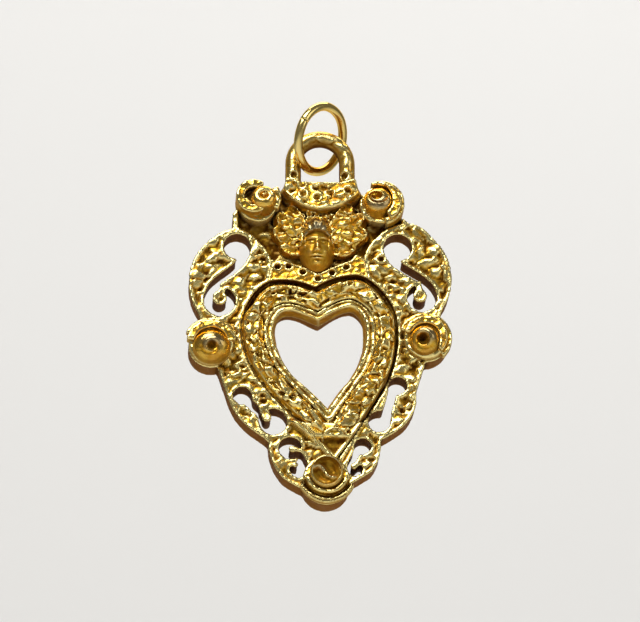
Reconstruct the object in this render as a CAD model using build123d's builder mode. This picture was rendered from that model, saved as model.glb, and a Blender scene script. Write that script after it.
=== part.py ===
from build123d import *
import os
from math import atan2, cos, degrees, hypot, radians, sin, tan

# Sizes are in millimetres and angles in degrees.
# The charm hangs upright: X to the right, Z up, front towards -Y, origin at the jump ring's centre.

# Jump ring of round wire, closed on a butt cut, leaning forward and turned in the eyelet
ring_diameter = 5.78
ring_wire = 0.7
ring_cut = 0.1
ring_cut_angle = 164.0
ring_yaw = 40.0
ring_lean = 22.0
ring_forward = 0.7

# Hanger: a cast eyelet of oval section over a bib with a swag edge
eyelet_width = 5.22
eyelet_hole = 3.06
eyelet_depth = 1.4
eyelet_drop = 1.85
eyelet_leg = 2.23
bib_width = 5.6
bib_drop = 1.95
bib_end_drop = 0.3
bib_lip = 0.2
bib_shoulder = 0.55
bib_rise = 1.15

# Plate heights above the flat back
field_height = 1.3
panel_height = 2.0

# Open heart, its bead and its hammered band
heart_centre = (0.1, -14.1)
heart_lean = 5.0
opening_half_width = 3.55
opening_peak = (2.45, 4.08)
opening_widest = 2.5
opening_notch = 3.0
opening_tip = (0.1, -4.03)
rim_width = 0.5
rim_slope = 0.25
rim_rise = 1.0
rim_groove = 0.15
band_half_width = 5.75
band_peak = (3.0, 6.45)
band_widest = 2.7
band_notch = 5.6
band_tip = (0.45, -7.75)
band_rise = 1.45
band_edge = 0.4
band_groove = 0.28

# Collar over the heart's notch
collar_rise = 0.75
collar_gap = 0.28

# Cherub
head_centre = (-0.3, -5.0)
head_half_width = 1.15
head_half_height = 1.8
head_lift = 0.55
hair_half_width = 1.1
hair_half_height = 1.05
hair_raise = 1.2
wing_rise = 1.15
wing_step = 0.15
feather_width = 1.2
wing_gap = 0.06

# Scroll piercings
slot_width = 0.74
small_slot_width = 0.6
tongue_neck = 0.42
small_tongue_neck = 0.26

# Upright spike at the crown's left corner
spike_at = (-6.55, -2.95)
spike_length = 1.4
spike_width = 0.36

# Roses
calyx_height = 0.3
bud_clearance = 0.08
bud_root = 0.7
coil_wall = 0.3
coil_groove = 0.14
coil_pitch = 0.62
coil_depth = 0.3

# Each rose: the height it sits at, its seat, calyx and petals, then its bud
# A petal is an arc round their centre: its radius, thickness, first and last angle, and height over the calyx
# A bud leans sideways and upwards by two angles, and is rounded over to its crest round a pit
roses = {
    "rose_top_left": dict(
        base=field_height, calyx=(-4.85, -1.6), calyx_radius=1.4, seat_radius=1.5, petals_at=(-5.2, -1.3),
        petals=[(1.02, 0.5, 55, 310, 1.75), (0.6, 0.34, 190, 290, 1.45), (1.75, 0.6, -24, 25, 1.35)],
        bud=(-4.42, -1.72), bud_lean=(0, 12), bud_radius=0.86, bud_height=2.0, crest=0.45,
        pit_radius=0.28, pit_depth=0.4, hand=1,
    ),
    "rose_top_right": dict(
        base=field_height, calyx=(4.6, -1.5), calyx_radius=1.45, seat_radius=1.6, petals_at=(4.6, -1.5),
        petals=[(1.5, 0.45, -75, 115, 1.25), (1.2, 0.6, -60, 110, 1.55), (1.35, 0.4, 165, 240, 0.8)],
        bud=(4.55, -1.8), bud_lean=(-11, 24), bud_radius=1.14, bud_height=1.9, crest=0.45,
        pit_radius=0.3, pit_depth=0.6, hand=-1,
    ),
    "rose_side_left": dict(
        base=panel_height, calyx=(-8.35, -13.1), calyx_radius=1.6, seat_radius=1.7, petals_at=(-8.35, -13.2),
        petals=[(1.58, 0.5, 12, 168, 0.75), (1.9, 0.4, 28, 152, 0.35)],
        bud=(-8.33, -13.4), bud_lean=(0, -15), bud_radius=1.35, bud_height=1.5, crest=0.45,
        pit_radius=0.26, pit_depth=0.35, hand=1,
    ),
    "rose_side_right": dict(
        base=panel_height, calyx=(8.0, -12.3), calyx_radius=1.6, seat_radius=1.75, petals_at=(7.95, -12.35),
        petals=[(1.36, 0.5, -40, 165, 0.75), (1.75, 0.42, -45, 160, 0.35)],
        bud=(7.93, -12.6), bud_lean=(-11, -11), bud_radius=1.15, bud_height=1.3, crest=0.5,
        pit_radius=0.36, pit_depth=0.5, hand=-1,
    ),
    "rose_base": dict(
        base=panel_height, calyx=(0.4, -23.75), calyx_radius=1.7, seat_radius=1.85, petals_at=(0.45, -23.35),
        petals=[(1.56, 0.36, 195, 345, 0.6), (1.95, 0.5, 205, 335, 0.2)],
        bud=(0.4, -23.35), bud_lean=(0, 0), bud_radius=1.27, bud_height=0.95, crest=1.12,
        pit_radius=0.98, pit_depth=0.3, hand=1,
    ),
}

# Outer edges of the scroll panels, as arcs through every second point
upper_left_panel = [(-9.3, -10.4), (-10.02, -7.5), (-8.0, -4.2), (-6.7, -3.65), (-5.2, -4.25)]
upper_right_panel = [(9.3, -9.7), (9.97, -6.9), (8.4, -3.9), (6.6, -2.85), (5.0, -3.35)]
lower_left_panel = [(-7.1, -16.9), (-6.35, -18.55), (-4.95, -19.9), (-4.4, -20.3), (-3.95, -20.65)]
lower_right_panel = [(7.25, -16.4), (7.1, -17.9), (6.2, -19.3), (5.45, -19.85), (4.5, -20.4)]
base_left_panel = [(-3.95, -20.65), (-3.65, -22.2), (-2.9, -23.5), (-2.05, -24.05), (-1.1, -24.5)]
base_right_panel = [(4.5, -20.4), (4.4, -21.8), (3.85, -22.9), (2.95, -23.5), (1.75, -24.2)]
crown_corners = [(2.55, 0), (6.2, -2.2), (6.6, -2.85), (-6.7, -3.65), (-6.5, -2.0), (-2.55, 0)]

# Scrolls: head and its radius, foot and its radius, slot width, the side the slot leaves and enters by
scrolls = [
    ((-6.4, -5.0), 1.07, (-7.7, -9.45), 1.25, slot_width, 1, -1),
    ((5.9, -4.85), 1.12, (7.75, -8.9), 1.17, slot_width, -1, 1),
    ((-5.95, -17.05), 0.75, (-3.6, -19.1), 1.1, slot_width, 1, -1),
    ((5.85, -16.05), 0.75, (4.45, -18.95), 0.9, slot_width, -1, 1),
    ((-2.3, -21.2), 0.92, (-1.65, -22.85), 0.72, small_slot_width, 1, 1),
    ((3.2, -20.95), 0.68, (2.6, -22.75), 0.62, small_slot_width, -1, -1),
]

# Tongues left standing in the scrolls: tip, its radius, the root and the neck's width
tongues = [
    ((-7.7, -9.2), 0.52, (-7.35, -8.0), tongue_neck),
    ((7.6, -8.75), 0.48, (7.45, -7.6), tongue_neck),
    ((-4.08, -18.75), 0.32, (-4.4, -17.9), 1.4 * tongue_neck),
    ((-2.15, -21.25), 0.22, (-1.2, -21.35), small_tongue_neck),
    ((-1.9, -22.5), 0.16, (-2.7, -22.3), small_tongue_neck),
    ((2.5, -22.55), 0.2, (3.5, -21.8), small_tongue_neck),
]

# Sunk ground of the crown, in two loops of an arc and corners, and the cove under the heart's tip
crown_ground = [
    ([(-6.35, -3.5), (-4.9, -4.4), (-3.7, -6.4)], [(-4.3, -9.0), (3.8, -8.6), (3.35, -5.7)]),
    ([(3.35, -5.7), (4.4, -3.95), (6.2, -2.95)], [(7.2, 1.0), (-6.35, 1.0), (-6.35, -3.5)]),
]
tip_cove = (1.1, -20.75)
tip_cove_radius = 0.95

# Upper edge of the collar, then the two corners under the band; its ends are cut to the sunk ground
collar_corners = [
    (-4.4, -6.0), (-2.9, -6.1), (-1.5, -6.55), (-0.2, -7.15), (0.9, -6.6), (2.3, -6.0), (2.75, -5.5),
    (3.9, -6.2), (3.9, -9.0), (-4.4, -9.0),
]

# Wings: root, then the tips of the feathers from the top one down
left_wing_root = (-1.2, -4.9)
left_feathers = [(-2.35, -1.75), (-3.2, -2.3), (-3.45, -3.5), (-2.9, -4.7)]
right_wing_root = (0.6, -4.8)
right_feathers = [(2.2, -1.5), (3.2, -2.3), (3.4, -3.6), (2.5, -4.75)]

# Places that follow from the sizes above
back_y = ring_forward + panel_height / 2
eyelet_centre = (0, ring_forward, -eyelet_drop)
eyelet_bar = (eyelet_width - eyelet_hole) / 4
eyelet_radius = eyelet_hole / 2 + eyelet_bar
plate_top = -eyelet_drop - eyelet_leg
ring_radius = (ring_diameter - ring_wire) / 2
hair_centre = (head_centre[0], head_centre[1] + hair_raise)


def level(height):
    """Plane parallel to the back, that far in front of it, with its origin on the plate's top edge."""
    return Plane(origin=(0, back_y - height, plate_top), x_dir=(1, 0, 0), z_dir=(0, -1, 0))


def heart_way(x, z):
    """Step given in the leaning heart's own axes."""
    lean = radians(heart_lean)
    return (x * cos(lean) - z * sin(lean), x * sin(lean) + z * cos(lean))


def on_heart(x, z):
    """Point given in the leaning heart's own axes."""
    step = heart_way(x, z)
    return (heart_centre[0] + step[0], heart_centre[1] + step[1])


def heart(half_width, peak, widest, notch, tip, grow):
    """Face of a heart, let out all round: one smooth curve down each side, from the notch to the tip."""
    notch_way = (1, 0.6)
    tip_way = (-0.75, -1)
    notch_let = grow * hypot(*notch_way) / notch_way[0]
    tip_let = grow * hypot(*tip_way) / -tip_way[0]
    with BuildLine() as edge:
        for side in (1, -1):
            Spline(
                on_heart(0, notch + notch_let),
                on_heart(side * peak[0], peak[1] + grow),
                on_heart(side * (half_width + grow), widest),
                on_heart(tip[0], tip[1] - tip_let),
                tangents=[
                    heart_way(side * notch_way[0], notch_way[1]),
                    heart_way(side, 0),
                    heart_way(0, -1),
                    heart_way(side * tip_way[0], tip_way[1]),
                ],
            )
    make_face(edge.edges())


def opening_outline(grow=0):
    """Face of the heart opening, let out all round."""
    heart(opening_half_width, opening_peak, opening_widest, opening_notch, opening_tip, grow)


def band_outline(grow=0):
    """Face inside the hammered band's outer edge, let out all round."""
    heart(band_half_width, band_peak, band_widest, band_notch, band_tip, grow)


def corner_loop(corners):
    """Face with straight edges."""
    with BuildLine() as edge:
        Polyline(*corners, close=True)
    make_face(edge.edges())


def arc_loop(points, inner):
    """Face edged by arcs through every second point, closed by straight lines through the inner points."""
    with BuildLine() as edge:
        for start, through, end in zip(points[0::2], points[1::2], points[2::2]):
            ThreePointArc(start, through, end)
        Polyline(points[-1], *inner, points[0])
    make_face(edge.edges())


def coil(centre, radius, hand):
    """Line that winds in towards a centre by half circles, each smaller by half the pitch."""
    step = coil_pitch / 2
    with BuildLine() as path:
        x = radius
        side = hand
        while abs(x) > step:
            turned = step - x if x > 0 else -step - x
            rise = side * (abs(x) + abs(turned)) / 2
            ThreePointArc(
                (centre[0] + x, centre[1]),
                (centre[0] + (x + turned) / 2, centre[1] + rise),
                (centre[0] + turned, centre[1]),
            )
            x = turned
            side = -side
    return path.edges()


def scroll_piercing(head, head_radius, foot, foot_radius, width, leaves, enters):
    """S-scroll opening: a round head and foot joined by a slot that runs along one side of each."""
    with Locations(head):
        Circle(head_radius)
    with Locations(foot):
        Circle(foot_radius)
    top = head[0] + leaves * (head_radius - width / 2)
    bottom = foot[0] + enters * (foot_radius - width / 2)
    half_way = (head[1] + foot[1]) / 2
    with BuildLine() as path:
        Bezier((top, head[1]), (top, half_way), (bottom, half_way), (bottom, foot[1]))
    trace(path.edges(), line_width=width)


def tongue(tip, radius, root, neck):
    """Metal left standing in a scroll: a round tip on a neck."""
    with Locations(tip):
        Circle(radius, mode=Mode.SUBTRACT)
    with BuildLine() as path:
        Line(root, tip)
    trace(path.edges(), line_width=neck, mode=Mode.SUBTRACT)


# Outline of the plate, gathered round the heart from the crown, the scroll panels and the seats of the roses
with BuildSketch() as plate_outline:
    band_outline(band_groove)
    corner_loop(crown_corners[:3] + [heart_centre] + crown_corners[3:])
    for panel in (upper_left_panel, upper_right_panel, lower_left_panel, lower_right_panel, base_left_panel,
                  base_right_panel):
        arc_loop(panel, [heart_centre])
    corner_loop([heart_centre, upper_left_panel[0], lower_left_panel[0]])
    corner_loop([heart_centre, upper_right_panel[0], lower_right_panel[0]])
    corner_loop([heart_centre, base_left_panel[-1], base_right_panel[-1]])
    for rose in roses.values():
        with Locations(rose["calyx"]):
            Circle(rose["seat_radius"])
    with Locations(spike_at):
        SlotOverall(spike_length, spike_width, rotation=90)

with BuildSketch() as piercings:
    for scroll in scrolls:
        scroll_piercing(*scroll)
    for left_standing in tongues:
        tongue(*left_standing)

with BuildSketch() as sunk_field:
    band_outline(band_groove)
    for arc, corners in crown_ground:
        arc_loop(arc, corners)
    with Locations(tip_cove):
        Circle(tip_cove_radius)

# Back plate with its piercings, the heart opening and the sunk field
with BuildPart() as pierced_plate:
    with BuildSketch(level(0)):
        add(plate_outline.sketch)
        add(piercings.sketch, mode=Mode.SUBTRACT)
    extrude(amount=panel_height)
    with BuildSketch(level(0)):
        opening_outline()
    extrude(amount=panel_height, mode=Mode.SUBTRACT)
    with BuildSketch(level(field_height)):
        add(sunk_field.sketch)
    extrude(amount=panel_height, mode=Mode.SUBTRACT)

# Bead on the edge of the heart opening
with BuildPart() as heart_rim:
    with BuildSketch(level(field_height)):
        opening_outline(rim_width)
    extrude(amount=rim_rise)
    with BuildSketch(level(field_height)):
        opening_outline()
    with BuildSketch(level(field_height + rim_rise)):
        opening_outline(rim_slope)
    loft(ruled=True, mode=Mode.SUBTRACT)

# Hammered band with sloped edges, its tip cut off by the cove
band_bed = rim_width + rim_groove
band_shoulder = field_height + band_rise - band_edge
with BuildPart() as heart_band:
    with BuildSketch(level(field_height)):
        band_outline()
    extrude(amount=band_rise - band_edge)
    with BuildSketch(level(band_shoulder)):
        band_outline()
    with BuildSketch(level(band_shoulder + band_edge)):
        band_outline(-band_edge)
    loft(ruled=True)
    with BuildSketch(level(field_height)):
        opening_outline(band_bed)
    extrude(amount=band_rise - band_edge, mode=Mode.SUBTRACT)
    with BuildSketch(level(band_shoulder)):
        opening_outline(band_bed)
    with BuildSketch(level(band_shoulder + band_edge)):
        opening_outline(band_bed + band_edge)
    loft(ruled=True, mode=Mode.SUBTRACT)
    with BuildSketch(level(field_height)):
        with Locations(tip_cove):
            Circle(tip_cove_radius)
            Rectangle(4 * tip_cove_radius, 4 * tip_cove_radius, align=(Align.CENTER, Align.MAX))
    extrude(amount=band_rise, mode=Mode.SUBTRACT)

# Hanger: the eyelet stands on two legs on the plate's top edge and the bib lies on the sunk field
with BuildPart() as hanger:
    with BuildSketch(Plane(origin=eyelet_centre, x_dir=(1, 0, 0), z_dir=(0, 0, 1))):
        with Locations((eyelet_radius, 0)):
            Ellipse(eyelet_bar, eyelet_depth / 2)
    revolve(axis=Axis(eyelet_centre, (0, -1, 0)), revolution_arc=180)
    with BuildSketch(Plane(origin=eyelet_centre, x_dir=(1, 0, 0), z_dir=(0, 0, 1))):
        with Locations((eyelet_radius, 0), (-eyelet_radius, 0)):
            Ellipse(eyelet_bar, eyelet_depth / 2)
    extrude(amount=-eyelet_leg)
    with BuildSketch(level(field_height)):
        arc_loop(
            [(-bib_width / 2, -bib_end_drop), (0, -bib_drop), (bib_width / 2, -bib_end_drop)],
            [(eyelet_width / 2, bib_shoulder), (eyelet_hole / 2, bib_lip), (-eyelet_hole / 2, bib_lip),
             (-eyelet_width / 2, bib_shoulder)],
        )
    extrude(amount=bib_rise)

# Collar of punched strip over the heart's notch
with BuildPart() as punched_collar:
    with BuildSketch(level(field_height)):
        corner_loop(collar_corners)
        add(sunk_field.sketch, mode=Mode.INTERSECT)
    extrude(amount=collar_rise)
    with BuildSketch(level(field_height)):
        band_outline(collar_gap)
    extrude(amount=collar_rise, mode=Mode.SUBTRACT)


def upright_egg(centre, half_width, half_height):
    """Egg of revolution about an upright axis, its middle lifted off the sunk field."""
    plane = level(field_height + head_lift)
    middle = plane.from_local_coords(centre)
    with BuildSketch(plane) as profile:
        with Locations(centre):
            Ellipse(half_width, half_height)
        with Locations((centre[0] - half_width, centre[1])):
            Rectangle(2 * half_width, 2 * half_height, mode=Mode.SUBTRACT)
    revolve(profile.sketch, axis=Axis(middle, (0, 0, 1)))


# Cherub's head with its cap of hair, cut off flat on the sunk field
with BuildPart() as cherub_head:
    upright_egg(head_centre, head_half_width, head_half_height)
    upright_egg(hair_centre, hair_half_width, hair_half_height)
    split(bisect_by=level(field_height), keep=Keep.TOP)


def wing(root, tips):
    """Fan of feathers from a root, each a step lower than the one before, cut clear of the head."""
    with BuildPart() as fan:
        for rank, tip in enumerate(tips):
            middle = ((root[0] + tip[0]) / 2, (root[1] + tip[1]) / 2)
            run = (tip[0] - root[0], tip[1] - root[1])
            with BuildSketch(level(field_height)):
                with Locations(Location(middle, degrees(atan2(run[1], run[0])))):
                    Ellipse(hypot(*run) / 2, feather_width / 2)
            extrude(amount=wing_rise - rank * wing_step)
        with BuildSketch(level(field_height)):
            with Locations(head_centre):
                Ellipse(head_half_width + wing_gap, head_half_height + wing_gap)
            with Locations(hair_centre):
                Ellipse(hair_half_width + wing_gap, hair_half_height + wing_gap)
        extrude(amount=wing_rise, mode=Mode.SUBTRACT)
    return fan


wing_left = wing(left_wing_root, left_feathers)
wing_right = wing(right_wing_root, right_feathers)


def bud_plane(rose):
    """Plane on the calyx's top, square to the bud's leaning axis."""
    seat = level(rose["base"] + calyx_height).from_local_coords(rose["bud"])
    sideways, upwards = (tan(radians(angle)) for angle in rose["bud_lean"])
    return Plane(origin=seat, x_dir=(1, sideways, 0), z_dir=(sideways, -1, upwards))


def rose_petals(rose):
    """Calyx disc with curved petals standing round the bud's place."""
    with BuildPart() as cup:
        for radius, thickness, start, end, height in rose["petals"]:
            with BuildSketch(level(rose["base"])):
                with BuildLine() as line:
                    CenterArc(rose["petals_at"], radius, start, end - start)
                trace(line.edges(), line_width=thickness)
            extrude(amount=calyx_height + height)
        with BuildSketch(bud_plane(rose).offset(-bud_root)):
            Circle(rose["bud_radius"] + bud_clearance)
        extrude(amount=2 * bud_root + rose["bud_height"], mode=Mode.SUBTRACT)
        with BuildSketch(level(rose["base"])):
            with Locations(rose["calyx"]):
                Circle(rose["calyx_radius"])
        extrude(amount=calyx_height)
    return cup


def rose_bud(rose):
    """Leaning bud, rounded over to a crest round its pit, with a coil cut in its top and its foot flat."""
    plane = bud_plane(rose)
    radius, height, crest = rose["bud_radius"], rose["bud_height"], rose["crest"]
    rounding = radius - crest
    floor = height - rose["pit_depth"]
    with BuildPart() as body:
        with BuildSketch(Plane(origin=plane.origin, x_dir=plane.x_dir, z_dir=-plane.y_dir)):
            with BuildLine() as edge:
                Polyline((0, floor), (0, -bud_root), (radius, -bud_root), (radius, height - rounding))
                CenterArc((crest, height - rounding), rounding, 0, 90)
                Polyline((crest, height), (rose["pit_radius"], floor), (0, floor))
            make_face(edge.edges())
        revolve(axis=Axis(plane.origin, plane.z_dir))
        split(bisect_by=level(rose["base"] + calyx_height), keep=Keep.TOP)
        with BuildSketch(plane.offset(height)):
            trace(coil((0, 0), radius - coil_wall, rose["hand"]), line_width=coil_groove)
        extrude(amount=-coil_depth, mode=Mode.SUBTRACT)
    return body


# Jump ring, turned away from square to the plate and leaning forward
yaw = radians(ring_yaw)
lean = radians(ring_lean)
ring_normal = Vector(cos(yaw) * cos(lean), -sin(yaw) * cos(lean), -sin(lean))
ring_across = Vector(sin(yaw), cos(yaw), 0)
ring_up = ring_normal.cross(ring_across)
cut_turn = radians(ring_cut_angle)
cut_outward = ring_across * cos(cut_turn) + ring_up * sin(cut_turn)
cut_along = ring_up * cos(cut_turn) - ring_across * sin(cut_turn)
with BuildPart() as jump_ring:
    with BuildSketch(Plane(origin=(0, 0, 0), x_dir=cut_outward, z_dir=cut_along)):
        with Locations((ring_radius, 0)):
            Circle(ring_wire / 2)
    revolve(axis=Axis((0, 0, 0), ring_normal), revolution_arc=360 - degrees(ring_cut / ring_radius))

pieces = {
    "jump_ring": jump_ring,
    "hanger": hanger,
    "pierced_plate": pierced_plate,
    "heart_rim": heart_rim,
    "heart_band": heart_band,
    "punched_collar": punched_collar,
    "cherub_head": cherub_head,
    "wing_left": wing_left,
    "wing_right": wing_right,
}
for name, rose in roses.items():
    pieces[f"{name}_petals"] = rose_petals(rose)
    pieces[f"{name}_bud"] = rose_bud(rose)

os.makedirs("parts", exist_ok=True)
for name, piece in pieces.items():
    piece.part.label = name
    export_step(piece.part, f"parts/{name}.step")
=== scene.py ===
from math import cos, pi, radians, sin

import bmesh
import bpy
import numpy as np
from mathutils import Matrix, Vector


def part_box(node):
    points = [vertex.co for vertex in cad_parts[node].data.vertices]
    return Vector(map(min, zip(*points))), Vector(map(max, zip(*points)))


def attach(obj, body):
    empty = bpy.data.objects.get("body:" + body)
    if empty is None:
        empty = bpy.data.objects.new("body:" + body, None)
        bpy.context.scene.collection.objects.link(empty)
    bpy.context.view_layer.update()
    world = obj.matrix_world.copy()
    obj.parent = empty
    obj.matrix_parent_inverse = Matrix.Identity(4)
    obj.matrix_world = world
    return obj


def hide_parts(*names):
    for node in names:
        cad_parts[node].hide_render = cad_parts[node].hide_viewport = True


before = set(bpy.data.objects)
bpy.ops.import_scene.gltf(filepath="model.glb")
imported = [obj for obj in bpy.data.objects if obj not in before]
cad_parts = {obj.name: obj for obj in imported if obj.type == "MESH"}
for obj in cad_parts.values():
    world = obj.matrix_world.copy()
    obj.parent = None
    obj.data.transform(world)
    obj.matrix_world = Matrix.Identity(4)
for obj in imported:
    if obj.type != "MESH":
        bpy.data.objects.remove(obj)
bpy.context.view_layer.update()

# Pieces are shaped in millimetres, and scaled to metres when they are set in the frame.
# A place on the charm's face is its x, its drop from the plate's top edge, negative downwards,
# and its height over the plate's back.
MM = 0.001
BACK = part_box("pierced_plate")[1][1] / MM
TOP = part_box("pierced_plate")[1][2] / MM

# Heights of the sunk field and of the panels round it
FIELD = 1.3
PANEL = 2.0

# Middle of the open heart, and the drops over which its sides become its upper arcs
HEART_X, HEART_DROP = 0.1, -14.1
ARCS_FOOT, ARCS_TOP = -10.8, -9.6

# Mesh helpers


def cad_copy(name):
    """Copy of a solid's mesh in millimetres, its seams welded."""
    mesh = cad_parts[name].data.copy()
    work = bmesh.new()
    work.from_mesh(mesh)
    bmesh.ops.scale(work, vec=(1 / MM,) * 3, verts=work.verts)
    bmesh.ops.remove_doubles(work, verts=work.verts, dist=1e-4)
    work.to_mesh(mesh)
    work.free()
    return mesh


def bake(mesh, dress):
    """Mesh with the modifiers that dress puts on it made real."""
    holder = bpy.data.objects.new("holder", mesh)
    bpy.context.scene.collection.objects.link(holder)
    dress(holder)
    holder.update_tag()
    graph = bpy.context.evaluated_depsgraph_get()
    baked = bpy.data.meshes.new_from_object(holder.evaluated_get(graph))
    bpy.data.objects.remove(holder)
    return baked


def points_of(mesh):
    """Vertex positions as an array."""
    flat = np.empty(len(mesh.vertices) * 3)
    mesh.vertices.foreach_get("co", flat)
    return flat.reshape(-1, 3)


def normals_of(mesh):
    """Vertex normals as an array."""
    flat = np.empty(len(mesh.vertices) * 3)
    mesh.vertex_normals.foreach_get("vector", flat)
    return flat.reshape(-1, 3)


def put_points(mesh, points):
    """Moves the vertices."""
    mesh.vertices.foreach_set("co", points.ravel())
    mesh.update()


def nudge(mesh, directions, amount):
    """Moves each vertex along its direction by its amount."""
    put_points(mesh, points_of(mesh) + directions * amount[:, None])


def smoothed(mesh, values, rounds, share=0.5):
    """Values at the vertices, moved a share of the way to the neighbours' average in each round."""
    flat = np.empty(len(mesh.edges) * 2, dtype=np.int32)
    mesh.edges.foreach_get("vertices", flat)
    a, b = flat.reshape(-1, 2).T
    count = len(values)
    degree = np.maximum(np.bincount(a, minlength=count) + np.bincount(b, minlength=count), 1)
    for _ in range(rounds):
        total = np.empty_like(values)
        for k in range(values.shape[1]):
            total[:, k] = np.bincount(a, values[b, k], count) + np.bincount(b, values[a, k], count)
        values = values + share * (total / degree[:, None] - values)
    return values


def soft_cast(mesh, grain, rounds):
    """Mesh recast in even small faces, with the corners rounded as a casting's are and the bulk kept."""

    def dress(holder):
        recast = holder.modifiers.new("recast", "REMESH")
        recast.mode = "VOXEL"
        recast.voxel_size = grain

    cast = bake(mesh, dress)
    points = points_of(cast)
    for _ in range(rounds):
        points = smoothed(cast, points, rounds=1, share=0.55)
        points = smoothed(cast, points, rounds=1, share=-0.5)
    put_points(cast, points)
    return cast


def step(low, high, value):
    """Smooth step from 0 at the low limit to 1 at the high one."""
    t = np.clip((value - low) / (high - low), 0, 1)
    return t * t * (3 - 2 * t)


def oval(x, drop, at_x, at_drop, half_width, half_height):
    """Soft oval on the face, 1 at its middle."""
    return np.exp(-(((x - at_x) / half_width) ** 2) - ((drop - at_drop) / half_height) ** 2)


def face_places(mesh):
    """Each vertex's x, drop and height over the back."""
    points = points_of(mesh)
    return points[:, 0], points[:, 2] - TOP, BACK - points[:, 1]


def facing_front(mesh, low, high):
    """How far each vertex faces the front, from 0 at the low limit to 1 at the high one."""
    return step(low, high, -normals_of(mesh)[:, 1])


def sideways_of(mesh, rounds=0):
    """Vertex normals without their forward part, smoothed over that many rounds."""
    return smoothed(mesh, normals_of(mesh) * (1, 0, 1), rounds)


def facing_out(mesh, directions):
    """How far each vertex's direction points away from the middle of the heart."""
    x, drop, _ = face_places(mesh)
    return directions[:, 0] * (x - HEART_X) + directions[:, 2] * (drop - HEART_DROP)


def push_forward(mesh, lift):
    """Moves each vertex that faces the front forward by its lift."""
    points = points_of(mesh)
    points[:, 1] -= lift * facing_front(mesh, 0.0, 0.5)
    put_points(mesh, points)


def model(mesh, lumps):
    """Raises or sinks soft ovals in the front, each its x, drop, half width, half height and lift."""
    x, drop, _ = face_places(mesh)
    lift = np.zeros(len(x))
    for *place, rise in lumps:
        lift += rise * oval(x, drop, *place)
    push_forward(mesh, lift)


def swell(mesh, amount):
    """Thickens a mesh by moving each vertex out along its normal."""
    put_points(mesh, points_of(mesh) + amount * normals_of(mesh))


def fill_slits(mesh, width, grain):
    """Mesh with its narrow slits filled, as a worn casting's are."""
    swell(mesh, width / 2)
    filled = soft_cast(mesh, grain, rounds=4)
    swell(filled, -0.35 * width)
    return filled


def flare_foot(mesh, foot, top, spread, inward=False):
    """Spreads the walls sideways, fully at the foot and not at the top, to leave a V-shaped groove.

    With inward, only the walls that face the middle of the heart move.
    """
    sideways = sideways_of(mesh)
    _, _, height = face_places(mesh)
    share = spread * (1 - step(foot, top, height))
    if inward:
        share *= facing_out(mesh, sideways) < 0
    nudge(mesh, sideways, share)


def raise_floor(mesh, low, high, lift):
    """Lifts the floors that lie between two heights."""
    _, _, height = face_places(mesh)
    push_forward(mesh, np.where((height > low) & (height < high), lift, 0))


def punch(mesh, spots, radius, depth, lip, above=0.0):
    """Round punch marks in the front above a height, each a pit with a raised lip at its x and drop."""
    # A mark's reach, and its lip's distance and width, in radii
    reach, lip_away, lip_width = 2.2, 1.35, 0.3
    x, drop, height = face_places(mesh)
    lift = np.zeros(len(x))
    for at_x, at_drop in spots:
        away = np.hypot(x - at_x, drop - at_drop) / radius
        struck = (away < reach) & (height > above)
        pit = np.clip(1 - away**4, 0, 1)
        ring = np.exp(-(((away - lip_away) / lip_width) ** 2))
        lift += np.where(struck, lip * ring - depth * pit, 0)
    push_forward(mesh, lift)


def mark_wear_and_painted_light(mesh, hollow_depth, rubbed_and_highlit_height, bared, darkened):
    """Stores how far each point takes patina and painted shade, takes rubbed gold and a painted highlight
    where it stands proud, is on a wall, which takes painted shade, or has lost its plating.
    """
    points = points_of(mesh)
    normals = normals_of(mesh)
    drift = np.einsum("ij,ij->i", smoothed(mesh, points, rounds=12) - points, normals)
    wall = smoothed(mesh, 1 - np.abs(normals[:, 1:2]), rounds=3)[:, 0]
    # Concave places and the darkened marks take patina and painted shade; convex places take rubbed gold
    # and a painted highlight; walls take painted shade
    marks = {
        "patina_shade_mark": np.clip(drift / hollow_depth + darkened, 0, 1),
        "rubbed and highlit": np.clip(-drift / rubbed_and_highlit_height, 0, 1),
        "wall": step(0.45, 0.85, wall),
        "bared": np.zeros(len(points)) + bared,
    }
    for name, value in marks.items():
        layer = mesh.attributes.new(name, "FLOAT", "POINT")
        layer.data.foreach_set("value", value.astype(np.float32))


def closed_tube(rows):
    """Closed mesh over rows of points, each row a ring, with its first and last rows filled."""
    rows = np.asarray(rows)
    count, across = rows.shape[:2]
    faces = []
    for i in range(count - 1):
        for j in range(across):
            k = (j + 1) % across
            faces.append((i * across + j, i * across + k, (i + 1) * across + k, (i + 1) * across + j))
    faces.append(tuple(range(across))[::-1])
    faces.append(tuple((count - 1) * across + j for j in range(across)))
    mesh = bpy.data.meshes.new("tube")
    mesh.from_pydata(rows.reshape(-1, 3).tolist(), [], faces)
    work = bmesh.new()
    work.from_mesh(mesh)
    bmesh.ops.recalc_face_normals(work, faces=work.faces)
    work.to_mesh(mesh)
    work.free()
    return mesh


# Node helpers


def add_sockets(tree, way, kind, *names):
    """Gives a node group named inputs or outputs of one kind."""
    for name in names:
        tree.interface.new_socket(name, in_out=way, socket_type=f"NodeSocket{kind}")


def wire(tree, value, socket):
    """Links a socket to a socket, or sets it to a plain value."""
    if isinstance(value, bpy.types.NodeSocket):
        tree.links.new(value, socket)
    else:
        socket.default_value = value


def calc(tree, operation, *values):
    """Result of a sum on values or sockets."""
    made = tree.nodes.new("ShaderNodeMath")
    made.operation = operation
    for value, socket in zip(values, made.inputs):
        wire(tree, value, socket)
    return made.outputs[0]


def vector_calc(tree, operation, *values):
    """Result of a sum on vectors."""
    made = tree.nodes.new("ShaderNodeVectorMath")
    made.operation = operation
    for value, socket in zip(values, made.inputs):
        wire(tree, value, socket)
    return made.outputs["Value"] if operation == "DOT_PRODUCT" else made.outputs["Vector"]


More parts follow.
